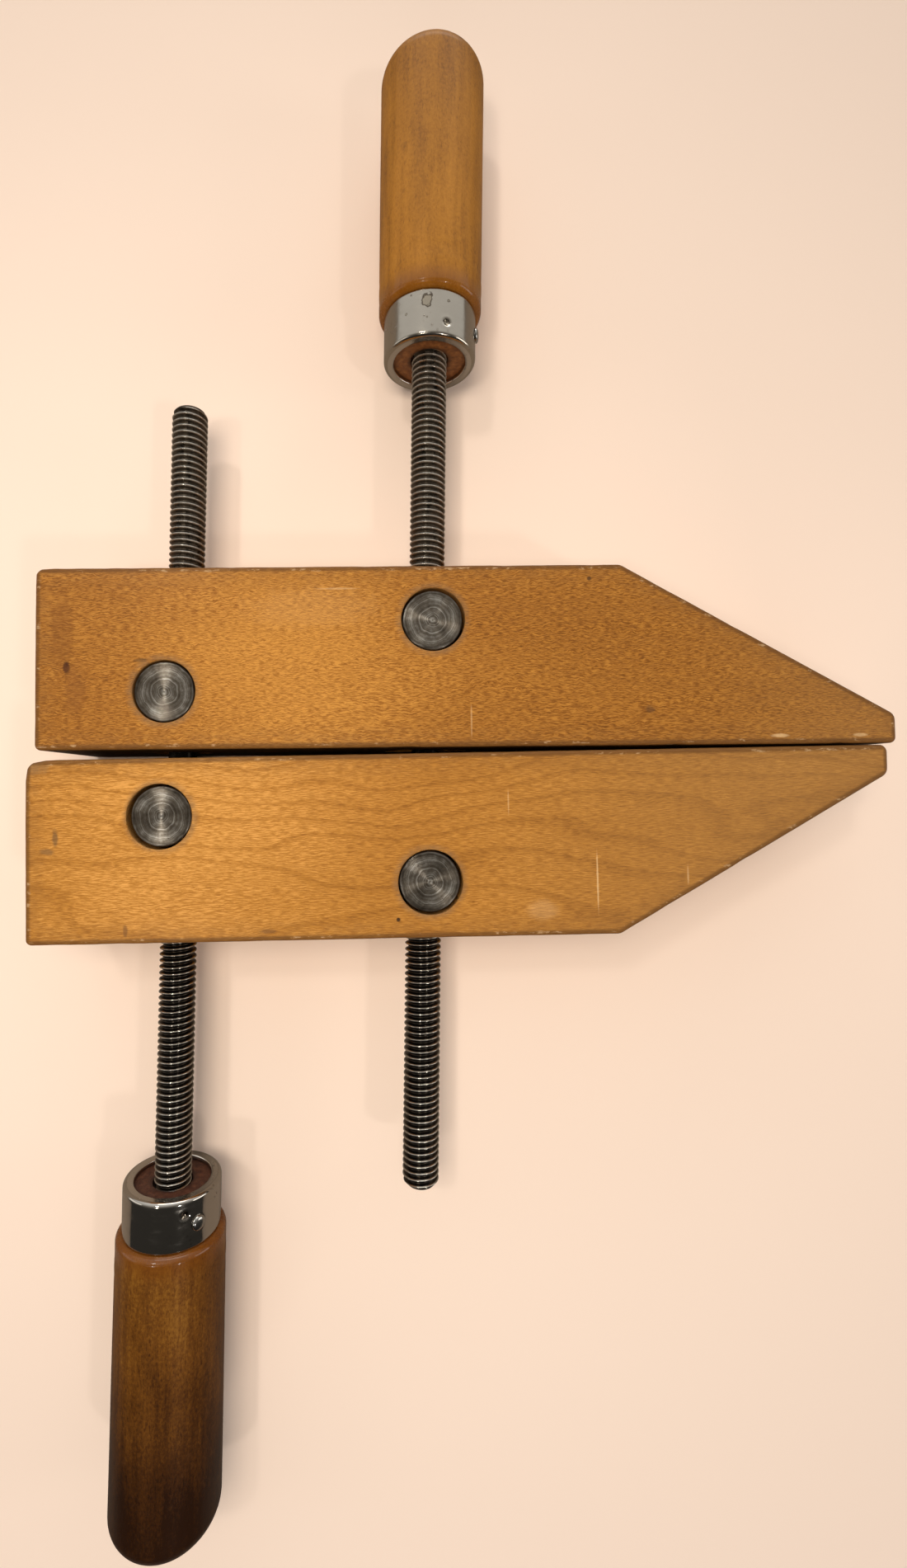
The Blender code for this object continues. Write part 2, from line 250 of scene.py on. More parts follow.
def subtract(obj, bm, matrix):
    """Cuts the bmesh's volume out of the object's mesh for good."""
    bmesh.ops.recalc_face_normals(bm, faces=bm.faces)
    mesh = bpy.data.meshes.new("cutter")
    bm.to_mesh(mesh)
    bm.free()
    cutter = add_object("cutter", mesh)
    cutter.matrix_world = matrix
    modifier = obj.modifiers.new("cut", "BOOLEAN")
    modifier.operation = "DIFFERENCE"
    modifier.object = cutter
    bpy.context.view_layer.update()
    graph = bpy.context.evaluated_depsgraph_get()
    result = bpy.data.meshes.new_from_object(obj.evaluated_get(graph))
    obj.modifiers.remove(modifier)
    obj.data = result
    bpy.data.objects.remove(cutter)


def jaw_matrix(side, heel):
    """The jaw's own frame: its origin at the heel's inner corner, X along its inner face."""
    return Matrix.Translation(heel) @ Matrix.Rotation(-side * JAW_LEAN, 4, "Z")


def build_jaw(name, side, heel, radii, chips, material):
    """A jaw with rounded, worn edges, knocked in at its chips."""
    points = [(0, 0), (JAW_LENGTH, 0), (JAW_LENGTH, side * JAW_TIP_HEIGHT),
              (JAW_SLOPE_START, side * JAW_HEIGHT), (0, side * JAW_HEIGHT)]
    outline = filleted(list(zip(points, radii)))
    bm = bmesh.new()
    base = bm.faces.new([bm.verts.new((p.x, p.y, 0)) for p in outline])
    raised = bmesh.ops.extrude_face_region(bm, geom=[base])
    lifted = [v for v in raised["geom"] if isinstance(v, bmesh.types.BMVert)]
    bmesh.ops.translate(bm, verts=lifted, vec=(0, 0, JAW_THICKNESS))
    rims = [e for e in bm.edges if len({round(v.co.z / MM) for v in e.verts}) == 1]
    bmesh.ops.bevel(bm, geom=rims, offset=JAW_EASED_EDGE, segments=5, profile=0.5, affect="EDGES")
    knocks = [tuple(value * MM for value in chip) for chip in chips]
    middle = Vector((JAW_LENGTH * 0.4, side * JAW_HEIGHT / 2, JAW_THICKNESS / 2))
    for vert in bm.verts:
        edge = min(vert.co.z, JAW_THICKNESS - vert.co.z)
        if edge > JAW_EASED_EDGE * 1.01:
            continue
        inward = middle - vert.co
        inward.x = math.copysign(min(abs(inward.x), abs(inward.y) + 1 * MM), inward.x) * 0.3
        inward.z = math.copysign(abs(inward.y), inward.z)
        inward.normalize()
        rough = noise.fractal(vert.co * 160, 0.6, 2.0, 3)
        worn = EDGE_WEAR * max(0.0, rough + 0.15) if edge > 0.02 * MM else 0
        for x, y, z, reach, depth in knocks:
            gap = (vert.co - Vector((x, side * y, z))).length
            worn += depth * max(0.0, 1 - gap / reach) ** 1.5
        vert.co += inward * worn
    return finish_piece(name, bm, jaw_matrix(side, heel), name, [material], name, sharp=40)


def cut_jaw(jaw, side, heel):
    """Cuts the nut holes and the spindle slots, in world places that the frame gives."""
    for which, spindle in SPINDLES.items():
        nut = ("upper_" if side > 0 else "lower_") + which + "_nut"
        radius, shift = NUT_HOLES[nut]
        centre = NUT_CENTRES[nut] + Vector(shift)
        subtract(jaw, nut_hole(Vector(), radius), Matrix.Translation(centre))
        depth = abs(NUT_CENTRES[nut].y - heel[1])
        frame_up = spindle_frame(dict(spindle, side=side))
        place = Matrix.Translation(NUT_CENTRES[nut]) @ frame_up.to_3x3().to_4x4()
        subtract(jaw, slot_cutter(depth + 4 * MM, JAW_HEIGHT - depth + 4 * MM), place)
    smooth(jaw.data, 40)


# hole radius, and how far the hole sits off its nut
NUT_HOLES = {
    "upper_rear_nut": (7.50 * MM, (0.03 * MM, 0.02 * MM, 0)),
    "upper_mid_nut": (7.62 * MM, (0.12 * MM, 0.12 * MM, 0)),
    "lower_rear_nut": (7.78 * MM, (-0.42 * MM, -0.05 * MM, 0)),
    "lower_mid_nut": (7.66 * MM, (0.18 * MM, -0.12 * MM, 0)),
}


# ---------------------------------------------------------------- nuts
def build_nut(name, turn, material):
    """A barrel nut whose end faces keep the lathe's ridges, cross-bored for its spindle."""
    low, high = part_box(name)
    half, radius = (high.z - low.z) / 2, (high.x - low.x) / 2
    chamfer, ridge, rings = 0.45 * MM, 0.012 * MM, 34
    dishing, centre_pit = 0.10 * MM, 0.12 * MM
    face = []
    for k in range(rings):
        r = (radius - chamfer) * (k + 0.5) / rings
        wave = ridge * (1 if k % 2 else -1) * (0.5 + abs(math.sin(k * 2.7 + turn)))
        dish = dishing * (1 - (r / radius) ** 2)
        face.append((r, half - dish + wave))
    profile = [(0, half - centre_pit)] + face
    profile += arc((radius - chamfer, half - chamfer), chamfer, 80, 0, 4)
    profile += [(radius, half * 0.5), (radius, 0)]
    bottom = [(r, -z) for r, z in reversed(profile[:-1])]
    bm = turned(bmesh.new(), profile + bottom, 72)
    place = Matrix.Translation(NUT_CENTRES[name]) @ Matrix.Rotation(turn, 4, "Z")
    nut = finish_piece(name, bm, place, name, [material], name, sharp=50)
    spindle = SPINDLES["rear" if "rear" in name else "mid"]
    reach = 20 * MM
    bore = [(0, -reach), (NUT_BORE_RADIUS, -reach), (NUT_BORE_RADIUS, reach), (0, reach)]
    across = spindle_frame(dict(spindle, side=1)).to_3x3().to_4x4()
    subtract(nut, turned(bmesh.new(), bore, 40), Matrix.Translation(NUT_CENTRES[name]) @ across)
    smooth(nut.data, 50)
    return nut


# ---------------------------------------------------------------- spindles
def thread(bm, low, high, hand, crest, envelope):
    """A helical thread between two heights, on rows that climb one pitch a turn.

    hand is 1 or -1 in this frame, and envelope(z) is the greatest radius that the rod has at a height."""
    per_pitch = len(THREAD_FORM)
    first = -per_pitch if hand > 0 else 0
    last = int((high - low) / PITCH * per_pitch) + 1 + (per_pitch if hand < 0 else 0)
    grid = {}
    for i in range(first, last + 1):
        phase, depth_share = THREAD_FORM[i % per_pitch]
        base = low + PITCH * (i // per_pitch + phase)
        for k in range(ROD_SIDES):
            angle = 2 * math.pi * k / ROD_SIDES
            z = base + hand * PITCH * k / ROD_SIDES
            radius = crest - THREAD_DEPTH * (1 - depth_share)
            if z <= low or z >= high:
                radius = 0
                z = low if z <= low else high
            radius = min(radius or crest, envelope(z))
            grid[i, k] = bm.verts.new((radius * math.cos(angle), radius * math.sin(angle), z))
    for i in range(first, last):
        for k in range(ROD_SIDES):
            near, far = (i, k), (i + 1, k)
            if k + 1 < ROD_SIDES:
                near_next, far_next = (i, k + 1), (i + 1, k + 1)
            else:
                near_next, far_next = (i + hand * per_pitch, 0), (i + 1 + hand * per_pitch, 0)
            corners = [grid.get(c) for c in (near, near_next, far_next, far)]
            if None not in corners:
                bm.faces.new(corners)


def build_spindle(name, spindle, material):
    """The rod: a rounded free end, two threads of opposite hands with a collar between, and the tang."""
    low, high, radius = span(name + "_spindle", spindle)
    tenon = span(name + "_handle", spindle)[0]
    rounding, neck = spindle["rounding"], radius - NECK_DEPTH
    tip = radius - rounding

    def free_end(z):
        rise = min(z - low, rounding)
        if spindle["domed"]:
            return tip + math.sqrt(rounding ** 2 - (rounding - rise) ** 2)
        return tip + rise

    def below_collar(z):
        return min(free_end(z), neck - MIDDLE_COLLAR - z)

    def above_collar(z):
        return neck + min(z - MIDDLE_COLLAR, tenon - z)

    bm = bmesh.new()
    turned(bm, [(0, low), (tip, low)], ROD_SIDES)
    # the upper half is left-handed and the lower right-handed; a frame that points down keeps each hand
    hand_by_free_end = 1 if spindle["side"] > 0 else -1
    thread(bm, low, -MIDDLE_COLLAR, hand_by_free_end, radius, below_collar)
    turned(bm, [(neck, -MIDDLE_COLLAR), (neck, MIDDLE_COLLAR)], ROD_SIDES)
    thread(bm, MIDDLE_COLLAR, tenon, -hand_by_free_end, radius, above_collar)
    tang = [(TANG_RADIUS, tenon + 0.6 * MM), (TANG_RADIUS, high), (0, high)]
    turned(bm, [(neck, tenon)] + tang, ROD_SIDES)
    bmesh.ops.remove_doubles(bm, verts=bm.verts, dist=0.002 * MM)
    bmesh.ops.dissolve_degenerate(bm, edges=bm.edges, dist=0.001 * MM)
    return finish_piece(name + "_spindle", bm, spindle_frame(spindle), name + "_spindle",
                        [material], name + "_spindle", sharp=60)


# ---------------------------------------------------------------- handles, ferrules, washers, pins
def facing(spindle, turn):
    """Direction in the spindle's frame that looks straight up from the clamp, turned towards +X."""
    return Vector((math.sin(turn), -spindle["side"] * math.cos(turn), 0))


def dent(point, centre, reach, depth, rim):
    """How far a surface point sinks into a round punch mark, with a slight raised rim."""
    gap = (point - centre).length / reach
    if gap < 1:
        return depth * (math.cos(gap * math.pi) + 1) / 2 - rim * gap * gap
    return -rim * math.exp(-((gap - 1) / 0.35) ** 2)


def build_ferrule(name, spindle, material, lip_material):
    """A pressed cup with a rolled mouth, a flat lip, a punched dimple and the dent round the pin."""
    low, high, radius = span(name + "_ferrule", spindle)
    inside = radius - FERRULE_WALL
    edge = 1.0 * MM
    profile = [(LIP_OPENING_RADIUS, low + LIP_THICKNESS)]
    profile += arc((LIP_OPENING_RADIUS + 0.35 * MM, low + 0.40 * MM), 0.35 * MM, 180, 270, 5)
    lip_end = len(profile) - 1
    profile += run(profile[-1], (radius - edge, low), 5)
    profile[-5:] = [(r, low + 0.05 * MM * (k % 2)) for k, (r, _) in enumerate(profile[-5:])]
    profile += arc((radius - edge, low + edge), edge, -78, 0, 8)
    profile += run(profile[-1], (radius, high - 0.3 * MM), 44)
    profile += arc((radius - 0.3 * MM, high - 0.3 * MM), 0.3 * MM, 22, 90, 3)
    profile += [(inside, high), (inside, low + LIP_THICKNESS)]
    side_dimple = facing(spindle, spindle["dimple"]) * radius + Vector((0, 0, low + DIMPLE_HEIGHT))
    side_pin = facing(spindle, spindle["pin"]) * radius + Vector((0, 0, low + PIN_HEIGHT))

    def bend(r, angle, z):
        if r < radius - 0.2 * MM or z < low + 0.5 * MM:
            return r
        point = Vector((r * math.cos(angle), r * math.sin(angle), z))
        shift = dent(point, side_dimple, 1.3 * MM, 0.55 * MM, 0.03 * MM)
        shift += dent(point, side_pin, 2.3 * MM, 0.16 * MM, 0.02 * MM)
        shift += 0.03 * MM * noise.noise(point * 180)
        return r - shift

    bm = turned(bmesh.new(), profile, 192, bend, closed=True)
    for face in bm.faces:
        centre = face.calc_center_median()
        on_lip = centre.xy.length < radius - edge * 1.02 and centre.z < low + edge / 2
        face.material_index = int(on_lip)
    return finish_piece(name + "_ferrule", bm, spindle_frame(spindle), name + "_spindle",
                        [material, lip_material], name + "_ferrule", sharp=60)


def build_washer(name, spindle, material):
    """The fibre disc behind the lip, with a soft, slightly uneven face."""
    low, high, radius = span(name + "_washer", spindle)
    hole = 4.95 * MM
    profile = [(hole, high), (hole, low + 0.25 * MM), (hole + 0.1 * MM, low + 0.06 * MM)]
    profile += run((hole + 0.3 * MM, low), (radius - 0.2 * MM, low), 16)
    profile += [(radius, low + 0.25 * MM), (radius, high)]
    bm = turned(bmesh.new(), profile, closed=True)
    for vert in bm.verts:
        if vert.co.z < low + 0.02 * MM:
            vert.co.z += 0.05 * MM * (0.5 + noise.noise(vert.co * 900))
    return finish_piece(name + "_washer", bm, spindle_frame(spindle), name + "_washer",
                        [material], name + "_washer", sharp=50)


def build_handle(name, spindle, material):
    """A turned handle: tenon and shoulder at the ferrule, a long barrel and a domed end."""
    low, end, radius = span(name + "_handle", spindle)
    ferrule_end, ferrule_radius = span(name + "_ferrule", spindle)[1:]
    tenon_radius = ferrule_radius - 1.1 * MM
    shoulder = ferrule_end + 0.15 * MM
    round_radius, dome, fullness = 1.7 * MM, 8.8 * MM, 1.35
    bore, bore_end = 4.4 * MM, low + 47 * MM
    profile = [(bore, low), (tenon_radius, low), (tenon_radius, shoulder)]
    profile += arc((radius - round_radius - 0.15 * MM, shoulder + round_radius), round_radius, -90, -6, 9)
    barrel = run(profile[-1], (radius, end - dome), 40)
    profile += [(r - 0.05 * MM * math.sin(k * 1.9) * (k < 5), z) for k, (r, z) in enumerate(barrel)]
    for step in range(1, 24):
        angle = math.pi / 2 * step / 24
        profile.append((radius * math.cos(angle) ** fullness, end - dome * (1 - math.sin(angle))))
    profile.append((0, end))

    def bend(r, angle, z):
        if r < 5 * MM:
            return r
        around = Vector((math.cos(angle), math.sin(angle), z * 25))
        return r - 0.06 * MM * (0.6 + noise.noise(around * 1.3))

    bm = turned(bmesh.new(), [(0, bore_end), (bore, bore_end)] + profile, bend=bend)
    return finish_piece(name + "_handle", bm, spindle_frame(spindle), name + "_spindle",
                        [material], name + "_handle", sharp=50)


def build_pin(name, spindle, material):
    """The pin's domed head and its shank down to the tang."""
    ferrule_low, _, ferrule_radius = span(name + "_ferrule", spindle)
    outward = facing(spindle, spindle["pin"])
    head, radius = ferrule_radius + 0.02 * MM, PIN_HEAD_RADIUS
    shank, foot, dome = 1.0 * MM, -9 * MM, 0.75 * MM
    profile = [(0, foot), (shank, foot), (shank, head), (radius - 0.1 * MM, head)]
    for step in range(0, 10):
        angle = math.pi / 2 * step / 10
        flat = dome * math.sin(angle) ** 0.9
        profile.append((radius * math.cos(angle) ** 0.8, head + 0.08 * MM + flat))
    profile.append((0, head + 0.08 * MM + dome))
    bm = turned(bmesh.new(), profile, 40)
    aimed = outward.to_track_quat("Z", "Y").to_matrix().to_4x4()
    local = Matrix.Translation((0, 0, ferrule_low + PIN_HEIGHT)) @ aimed
    return finish_piece(name + "_pin", bm, spindle_frame(spindle) @ local, name + "_spindle",
                        [material], name + "_pin", sharp=50)


# ---------------------------------------------------------------- node helpers
class Shade:
    """A material's node tree, with a short call for each kind of node that is used."""

    def __init__(self, name):
        self.material = bpy.data.materials.new(name)
        self.material.use_nodes = True
        self.tree = self.material.node_tree
        self.shader = self.tree.nodes["Principled BSDF"]

    def feed(self, socket, value):
        """Links a node's output to the socket, or sets its value. A colour may leave out its alpha."""
        if isinstance(value, bpy.types.NodeSocket):
            self.tree.links.new(value, socket)
        elif value is not None:
            plain = socket.type == "RGBA" and len(value) == 3
            socket.default_value = (*value, 1.0) if plain else value

    def node(self, kind, inputs=(), **settings):
        node = self.tree.nodes.new("ShaderNode" + kind)
        for key, value in settings.items():
            setattr(node, key, value)
        for key, value in dict(inputs).items():
            self.feed(node.inputs[key], value)
        return node

    def math(self, operation, a, b=None, c=None):
        return self.node("Math", {0: a, 1: b, 2: c}, operation=operation).outputs[0]

    def plus(self, a, b):
        return self.math("ADD", a, b)

    def minus(self, a, b):
        return self.math("SUBTRACT", a, b)

    def times(self, a, b):
        return self.math("MULTIPLY", a, b)

    def madd(self, a, b, c):
        """a times b, plus c."""
        return self.math("MULTIPLY_ADD", a, b, c)

    def swing(self, value, size):
        """A 0 to 1 value turned into one that swings about 0, size wide."""
        return self.times(self.minus(value, 0.5), size)

    def vector(self, operation, a, b=None):
        node = self.node("VectorMath", {0: a, 1: b}, operation=operation)
        scalar = operation in ("LENGTH", "DOT_PRODUCT", "DISTANCE")
        return node.outputs["Value" if scalar else "Vector"]

    def place(self):
        """The piece's own coordinates in millimetres."""
        here = self.node("TexCoord").outputs["Object"]
        return self.node("VectorMath", {0: here, 3: 1000.0}, operation="SCALE").outputs[0]

    def split(self, vector):
        return self.node("SeparateXYZ", {0: vector}).outputs

    def radius(self, place):
        """Distance from the piece's own Z axis."""
        x, y = self.split(place)[:2]
        return self.vector("LENGTH", self.join(x, y, 0.0))

    def join(self, x, y, z):
        return self.node("CombineXYZ", {0: x, 1: y, 2: z}).outputs[0]

    def noise(self, vector, scale, detail=2.0, roughness=0.5, distortion=0.0):
        """Noise in waves per millimetre: one scale for all axes, or one for each."""
        scale = scale if isinstance(scale, tuple) else (scale,) * 3
        stretched = self.vector("MULTIPLY", vector, scale)
        inputs = {"Vector": stretched, "Scale": 1.0, "Detail": detail, "Roughness": roughness,
                  "Distortion": distortion}
        return self.node("TexNoise", inputs).outputs["Fac"]

    def cells(self, vector, scale):
        return self.node("TexVoronoi", {"Vector": vector, "Scale": scale}).outputs["Distance"]

    def rise(self, value, low, high, start=0.0, stop=1.0):
        """value mapped smoothly from low..high to start..stop, and held there outside."""
        inputs = {"Value": value, "From Min": low, "From Max": high, "To Min": start, "To Max": stop}
        return self.node("MapRange", inputs, interpolation_type="SMOOTHSTEP").outputs[0]

    def fall(self, value, low, high):
        """1 below low, 0 above high, and smooth between."""
        return self.rise(value, low, high, 1.0, 0.0)

    def ramp(self, value, stops):
        node = self.node("ValToRGB", {0: value})
        elements = node.color_ramp.elements
        while len(elements) < len(stops):
            elements.new(0.5)
        for element, (place, colour) in zip(elements, stops):
            element.position = place
            element.color = (*colour, 1.0)
        return node.outputs[0]

    def mix(self, amount, a, b):
        return self.node("Mix", {0: amount, 6: a, 7: b}, data_type="RGBA").outputs[2]

    def stain(self, colour, cover, strength, stain):
        """colour with a stain over it, as strong as cover times strength."""
        return self.mix(self.times(cover, strength), colour, stain)

    def bump(self, height, distance):
        return self.node("Bump", {"Height": height, "Distance": distance, "Strength": 1.0}).outputs[0]

    def finish(self, **inputs):
        """Sets or links the shader's sockets, named with underscores for spaces."""
        for key, value in inputs.items():
            self.feed(self.shader.inputs[key.replace("_", " ")], value)
        return self.material


# ---------------------------------------------------------------- materials
JAW_DULL = (0.33, 0.180, 0.062)
JAW_SCRATCH = (0.78, 0.52, 0.26)
HOLE_SHADE = (0.20, 0.115, 0.055)
EDGE_GRIME = (0.19, 0.085, 0.025)
# painted shade along the jaws' eased edges
EDGE_PAINTED_SHADE = (0.110, 0.046, 0.013)
EDGE_BARE = (0.58, 0.39, 0.21)
# painted shade on the jaws' inner faces, in the gap between them
GAP_PAINTED_SHADE = (0.045, 0.022, 0.009)
HANDLE_DIRT = (0.09, 0.034, 0.008)
SHOULDER_GRIME = (0.15, 0.045, 0.005)
THREAD_ROOT = (0.042, 0.034, 0.026)
THREAD_CREST = (0.60, 0.57, 0.51)
# dust on the thread, and painted light on one half of each rod
THREAD_DUST_AND_PAINTED_LIGHT = (0.19, 0.150, 0.105)
THREAD_BROWN = (0.09, 0.050, 0.024)
COLLAR_OIL = (0.012, 0.010, 0.008)
NUT_SPECK = (0.060, 0.034, 0.018)
NUT_NICK = (0.55, 0.53, 0.48)
# painted shade round the nuts' rims
NUT_RIM_PAINTED_SHADE = (0.05, 0.045, 0.04)
PLATING_SMEAR = (0.36, 0.32, 0.26)
PLATING_BLOOM = (0.26, 0.20, 0.14)
# worn spots on the plating, and painted shade in the ferrules' dimples
SPOT_FACE = (0.34, 0.27, 0.17)
SPOT_EDGE = (0.060, 0.038, 0.022)
PLATING_PIT = (0.030, 0.022, 0.016)
# oil round the washers' holes, and painted shadow under the ferrules' lips
WASHER_OIL_AND_SHADOW = (0.022, 0.010, 0.006)
PAPER = (0.94, 0.76, 0.64)
PAPER_REFLECTED = (0.26, 0.21, 0.17)
NUT_TONES = ((0.32, (0.055, 0.042, 0.031)), (0.50, (0.190, 0.162, 0.127)), (0.68, (0.560, 0.530, 0.470)))
RINGS_PER_MM = 0.30


def edge_closeness(shade, place, side):
    """Distance in millimetres from a surface point of a jaw to its nearest long edge."""
    across = JAW_LENGTH - JAW_SLOPE_START
    drop = JAW_HEIGHT - JAW_TIP_HEIGHT
    slope = Vector((drop, side * across, 0)).normalized()
    corner = Vector((JAW_LENGTH, side * JAW_TIP_HEIGHT, 0)) / MM
    lines = [
        ((0, side, 0), 0.0),
        ((0, -side, 0), JAW_HEIGHT / MM),
        ((1, 0, 0), 0.0),
        ((-1, 0, 0), JAW_LENGTH / MM),
        (tuple(-slope), slope.dot(corner)),
    ]
    nearest = None
    for normal, offset in lines:
        gap = shade.plus(shade.vector("DOT_PRODUCT", place, normal), offset)
        nearest = gap if nearest is None else shade.math("MINIMUM", nearest, gap)
    z = shade.split(place)[2]
    depth = shade.math("MINIMUM", z, shade.minus(JAW_THICKNESS / MM, z))
    return shade.math("MAXIMUM", nearest, depth)


def blot(shade, place, centre, reach, ragged):
    """A soft spot of 0 to 1 about a centre, with reach in millimetres along each axis."""
    offset = shade.vector("DIVIDE", shade.vector("SUBTRACT", place, centre), reach)
    size = shade.plus(shade.vector("LENGTH", offset), ragged)
    return shade.fall(size, 0.45, 1.05)


def jaw_wood(name, side, grain, marks, scratches, holes):
    """Varnished maple: flecks rippling along the grain, faint rings, worn edges and a few marks, with
    painted light and shade: a lighter pool and a pale patch on the top, a dark band along the eased edges,
    and a dark inner face.
    """
    shade = Shade(name)
    place = shade.place()
    slow = shade.noise(place, (0.04, 0.12, 0.12), 2.0)
    ripple = shade.noise(place, (0.42, 0.60, 0.60), 2.0)
    lift = shade.plus(shade.swing(slow, 3.0), shade.swing(ripple, grain["ripple"]))
    wavy = shade.vector("ADD", place, shade.join(0.0, lift, 0.0))
    along, across = grain["fleck_scale"]
    flecks = shade.noise(wavy, (along, across, across), 2.5, 0.6)
    dashes = shade.rise(flecks, 0.40, 0.58)
    fine = shade.noise(wavy, (along * 0.8, across * 2.6, across * 2.6), 2.0, 0.6)
    broad = shade.noise(place, (0.016, 0.05, 0.05), 3.0, 0.6)
    x, y, z = shade.split(wavy)[:3]
    bow = shade.times(shade.noise(place, (0.010, 0.03, 0.03), 2.0), 26.0)
    heart_y, heart_z = grain["heart"]
    aside = shade.math("POWER", shade.plus(y, heart_y), 2.0)
    below = shade.math("POWER", shade.plus(z, heart_z), 2.0)
    far = shade.math("SQRT", shade.plus(aside, below))
    turns = shade.times(shade.plus(far, bow), RINGS_PER_MM)
    ring_phase = shade.math("FRACT", turns)
    rings = shade.times(shade.rise(ring_phase, 0.62, 0.92), shade.fall(ring_phase, 0.93, 1.0))
    tone = shade.madd(dashes, grain["fleck"], 0.5 - grain["fleck"] * 0.6)
    ticks = shade.rise(shade.noise(wavy, (along * 0.9, across * 1.9, across * 1.9), 2.0, 0.5), 0.60, 0.72)
    tone = shade.madd(ticks, grain["ticks"], tone)
    tone = shade.madd(fine, 0.60, shade.minus(tone, 0.30))
    tone = shade.madd(broad, 0.26, shade.minus(tone, 0.13))
    tone = shade.madd(rings, -grain["rings"], tone)
    # painted light: the tone is lifted in a broad soft pool round this centre on each jaw, standing in for
    # a lamp's glow
    middle, reach = grain["painted_light_pool"]
    painted_light_pool = shade.math("DIVIDE", shade.vector("DISTANCE", place, middle), reach)
    tone = shade.madd(shade.fall(painted_light_pool, 0.1, 1.0), 0.20, tone)
    colour = shade.ramp(tone, grain["tones"])
    ragged = shade.swing(shade.noise(place, 0.5, 4.0, 0.7), 1.1)
    dull = shade.rise(x, *grain["dull_span"])
    colour = shade.stain(colour, dull, grain["dull"], JAW_DULL)
    for centre, reach, stain, strength in marks:
        spot = blot(shade, place, centre, reach, ragged)
        colour = shade.stain(colour, spot, strength, stain)
    for centre, reach, strength in scratches:
        line = blot(shade, place, centre, reach, shade.times(ragged, 0.6))
        colour = shade.stain(colour, line, strength, JAW_SCRATCH)
    edge = edge_closeness(shade, place, side)
    broken = shade.noise(place, (0.25, 0.6, 0.6), 4.0, 0.7)
    for centre in holes:
        off = shade.vector("SUBTRACT", place, centre)
        around = shade.vector("LENGTH", shade.vector("MULTIPLY", off, (1.0, 1.0, 0.0)))
        halo = shade.times(shade.fall(around, 7.8, 9.6), shade.rise(broken, 0.25, 0.6))
        colour = shade.stain(colour, halo, 0.60, HOLE_SHADE)
    # painted shade: a dark band along the eased edges, where their rounding turns away from the light
    rim = shade.fall(edge, 0.85, 1.60)
    worn = shade.times(shade.rise(edge, 0.45, 0.75), shade.fall(edge, 0.85, 1.7))
    worn = shade.times(worn, shade.rise(broken, 0.56, 0.68))
    grimy = shade.times(shade.fall(edge, 0.5, 7.0), shade.rise(broken, 0.70, 0.35))
    colour = shade.stain(colour, grimy, 0.38, EDGE_GRIME)
    colour = shade.stain(colour, rim, 0.70, EDGE_PAINTED_SHADE)
    colour = shade.stain(colour, worn, 0.60, EDGE_BARE)
    # painted shade: the inner face, down in the gap between the jaws, is painted nearly black
    gap_shade = shade.times(shade.fall(shade.times(y, side), 0.25, 0.75), shade.fall(z, 33.6, 34.5))
    colour = shade.stain(colour, gap_shade, 0.80, GAP_PAINTED_SHADE)
    rough = shade.madd(broken, 0.20, 0.36)
    rough = shade.madd(worn, 0.22, rough)
    relief = shade.plus(shade.times(dashes, 0.6), shade.times(fine, 0.8))
    relief = shade.madd(shade.noise(place, (0.6, 1.2, 1.2), 3.0), 0.8, relief)
    normal = shade.bump(relief, 0.030 * MM)
    return shade.finish(Base_Color=colour, Roughness=rough, Normal=normal, Coat_Weight=0.05,
                        Coat_Roughness=0.25, Specular_IOR_Level=0.14)


def handle_wood(name, tones, shoulder, end, painted_shade_slope):
    """Turned maple under varnish: soft streaks, a fine mottle, dirt where it meets the ferrule, and painted
    shade that darkens it towards its end.
    """
    shade = Shade(name)
    place = shade.place()
    sway = shade.swing(shade.noise(place, (0.06, 0.06, 0.025), 2.0), 5.0)
    swayed = shade.vector("ADD", place, shade.join(sway, sway, 0.0))
    streaks = shade.noise(swayed, (0.50, 0.50, 0.030), 3.0, 0.55)
    mottle = shade.noise(place, (1.6, 1.6, 1.3), 4.0, 0.68)
    flecks = shade.rise(shade.noise(swayed, (3.2, 3.2, 0.65), 2.0, 0.6), 0.54, 0.70)
    cloud = shade.noise(place, (0.07, 0.07, 0.035), 3.0, 0.55)
    tone = shade.madd(streaks, 0.40, shade.madd(cloud, 0.50, -0.20))
    tone = shade.madd(mottle, 0.50, shade.minus(tone, 0.10))
    tone = shade.madd(flecks, -0.12, tone)
    z = shade.split(place)[2]
    # painted shade: the tone is lifted near the ferrule and lowered towards the handle's end, most on the
    # bottom handle
    tone = shade.plus(tone, shade.rise(z, shoulder + 8.0, end, painted_shade_slope, -painted_shade_slope))
    colour = shade.ramp(tone, tones)
    dirt = shade.rise(shade.noise(place, (0.30, 0.30, 0.22), 5.0, 0.7), 0.58, 0.74)
    colour = shade.stain(colour, dirt, 0.40, HANDLE_DIRT)
    near_ferrule = shade.fall(z, shoulder + 0.5, shoulder + 7.0)
    grime = shade.times(near_ferrule, shade.rise(mottle, 0.25, 0.60, 0.6, 1.0))
    colour = shade.stain(colour, grime, 0.75, SHOULDER_GRIME)
    rough = shade.madd(cloud, 0.16, shade.madd(grime, -0.22, 0.38))
    relief = shade.madd(flecks, -0.4, shade.times(streaks, 0.5))
    relief = shade.madd(mottle, 1.0, relief)
    return shade.finish(Base_Color=colour, Roughness=rough, Normal=shade.bump(relief, 0.022 * MM),
                        Coat_Weight=shade.madd(grime, 0.4, 0.05), Coat_Roughness=0.06,
                        Specular_IOR_Level=0.18)


